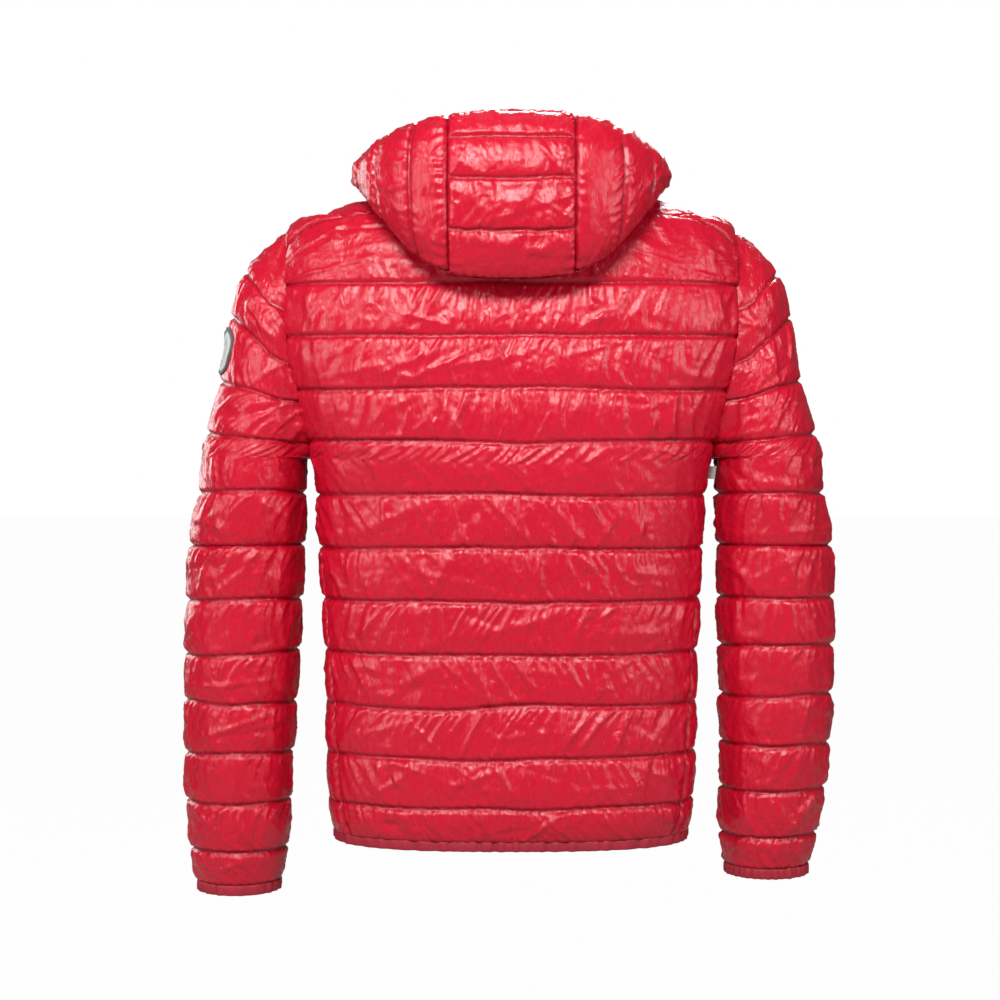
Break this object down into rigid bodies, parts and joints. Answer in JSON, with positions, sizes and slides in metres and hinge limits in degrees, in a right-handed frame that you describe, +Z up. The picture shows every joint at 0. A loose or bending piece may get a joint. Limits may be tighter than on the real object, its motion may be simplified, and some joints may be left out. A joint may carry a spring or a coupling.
{
  "type": "ski jacket",
  "caption": "Quilted hooded insulated ski jacket with a full front zip, hand pockets, elastic-bound hem and cuffs and a hood lying on the back",
  "frame": {"origin": "where the hanger loop rests on its hook, at the back of the neck", "axes": "+Z up, +X the wearer's left, -Y the way the wearer faces"},
  "size_m": [0.6806, 0.2872, 0.7849],
  "materials": {
    "shell_cloth": "glossy red calendered nylon, down filled",
    "lining_cloth": "plain dark nylon taffeta",
    "loop_tape": "woven tape",
    "label_cloth": "satin woven label, blank",
    "badge_cloth": null,
    "binding_cloth": "matte elastic binding",
    "zip_tape": "woven polyester tape",
    "zip_teeth": "moulded acetal",
    "zip_metal": "gunmetal plated"
  },
  "bodies": {
    "torso": {"back_lining": "lining_cloth", "back_panel": "shell_cloth", "collar_lining": "lining_cloth", "front_left_zip_tape": "zip_tape", "front_left_zip_teeth": "zip_teeth", "front_right_zip_tape": "zip_tape", "front_right_zip_teeth": "zip_teeth", "front_zip_box": "zip_teeth", "front_zip_top_stop": "zip_teeth", "hanger_loop": "loop_tape", "hem_binding": "binding_cloth", "hood_neck_panel": "shell_cloth", "left_front_lining": "lining_cloth", "left_front_panel": "shell_cloth", "left_pocket_bag": "lining_cloth", "left_pocket_left_zip_tape": "zip_tape", "left_pocket_left_zip_teeth": "zip_teeth", "left_pocket_right_zip_tape": "zip_tape", "left_pocket_right_zip_teeth": "zip_teeth", "left_pocket_zip_box": "zip_teeth", "left_pocket_zip_top_stop": "zip_teeth", "left_shoulder_yoke": "shell_cloth", "left_side_panel": "shell_cloth", "neck_label": "label_cloth", "right_front_lining": "lining_cloth", "right_front_panel": "shell_cloth", "right_pocket_bag": "lining_cloth", "right_pocket_left_zip_tape": "zip_tape", "right_pocket_left_zip_teeth": "zip_teeth", "right_pocket_right_zip_tape": "zip_tape", "right_pocket_right_zip_teeth": "zip_teeth", "right_pocket_zip_box": "zip_teeth", "right_pocket_zip_top_stop": "zip_teeth", "right_shoulder_yoke": "shell_cloth", "right_side_panel": "shell_cloth", "side_label": "label_cloth", "stand_collar": "shell_cloth"},
    "front_zip_puller": {"front_zip_puller": "zip_metal"},
    "front_zip_slider": {"front_zip_slider": "zip_metal"},
    "hood": {"hood_centre_panel": "shell_cloth", "hood_left_panel": "shell_cloth", "hood_lining": "lining_cloth", "hood_right_panel": "shell_cloth"},
    "left_forearm": {"left_cuff_binding": "binding_cloth", "left_lower_sleeve": "shell_cloth", "left_lower_sleeve_lining": "lining_cloth"},
    "left_pocket_zip_puller": {"left_pocket_zip_puller": "zip_metal"},
    "left_pocket_zip_slider": {"left_pocket_zip_slider": "zip_metal"},
    "left_upper_arm": {"left_upper_sleeve": "shell_cloth", "left_upper_sleeve_lining": "lining_cloth", "sleeve_badge": "badge_cloth"},
    "right_forearm": {"right_cuff_binding": "binding_cloth", "right_lower_sleeve": "shell_cloth", "right_lower_sleeve_lining": "lining_cloth"},
    "right_pocket_zip_puller": {"right_pocket_zip_puller": "zip_metal"},
    "right_pocket_zip_slider": {"right_pocket_zip_slider": "zip_metal"},
    "right_upper_arm": {"right_upper_sleeve": "shell_cloth", "right_upper_sleeve_lining": "lining_cloth"}
  },
  "joints": [
    {"name": "left_arm_raise", "type": "hinge", "parent": "torso", "child": "left_upper_arm", "pos_m": [0.2318, -0.0496, -0.046], "axis": [0, -1, 0], "range_deg": [0, 50]},
    {"name": "left_elbow_bend", "type": "hinge", "parent": "left_upper_arm", "child": "left_forearm", "pos_m": [0.27, -0.1255, -0.377], "axis": [-1, 0, 0], "range_deg": [0, 90]},
    {"name": "right_arm_raise", "type": "hinge", "parent": "torso", "child": "right_upper_arm", "pos_m": [-0.2318, -0.0496, -0.046], "axis": [0, 1, 0], "range_deg": [0, 50]},
    {"name": "right_elbow_bend", "type": "hinge", "parent": "right_upper_arm", "child": "right_forearm", "pos_m": [-0.27, -0.1255, -0.377], "axis": [-1, 0, 0], "range_deg": [0, 90]},
    {"name": "hood_raise", "type": "hinge", "parent": "torso", "child": "hood", "pos_m": [0, -0.0776, -0.003], "axis": [1, 0, 0], "range_deg": [0, 70]},
    {"name": "front_zip_slide", "type": "slide", "parent": "torso", "child": "front_zip_slider", "axis": [0, -0.0492, -0.9988], "range_m": [0, 0.655]},
    {"name": "front_zip_pull", "type": "hinge", "parent": "front_zip_slider", "child": "front_zip_puller", "pos_m": [0, -0.13447, 0.00262], "axis": [-1, 0, 0], "range_deg": [0, 120]},
    {"name": "left_pocket_zip_slide", "type": "slide", "parent": "torso", "child": "left_pocket_zip_slider", "axis": [0.0146, -0.039, -0.9991], "range_m": [0, 0.12]},
    {"name": "left_pocket_zip_pull", "type": "hinge", "parent": "left_pocket_zip_slider", "child": "left_pocket_zip_puller", "pos_m": [0.12821, -0.14344, -0.44154], "axis": [-0.9368, -0.3499, 0], "range_deg": [0, 120]},
    {"name": "right_pocket_zip_slide", "type": "slide", "parent": "torso", "child": "right_pocket_zip_slider", "axis": [-0.0146, -0.039, -0.9991], "range_m": [0, 0.12]},
    {"name": "right_pocket_zip_pull", "type": "hinge", "parent": "right_pocket_zip_slider", "child": "right_pocket_zip_puller", "pos_m": [-0.12821, -0.14344, -0.44154], "axis": [-0.9368, 0.3499, 0], "range_deg": [0, 120]}
  ]
}
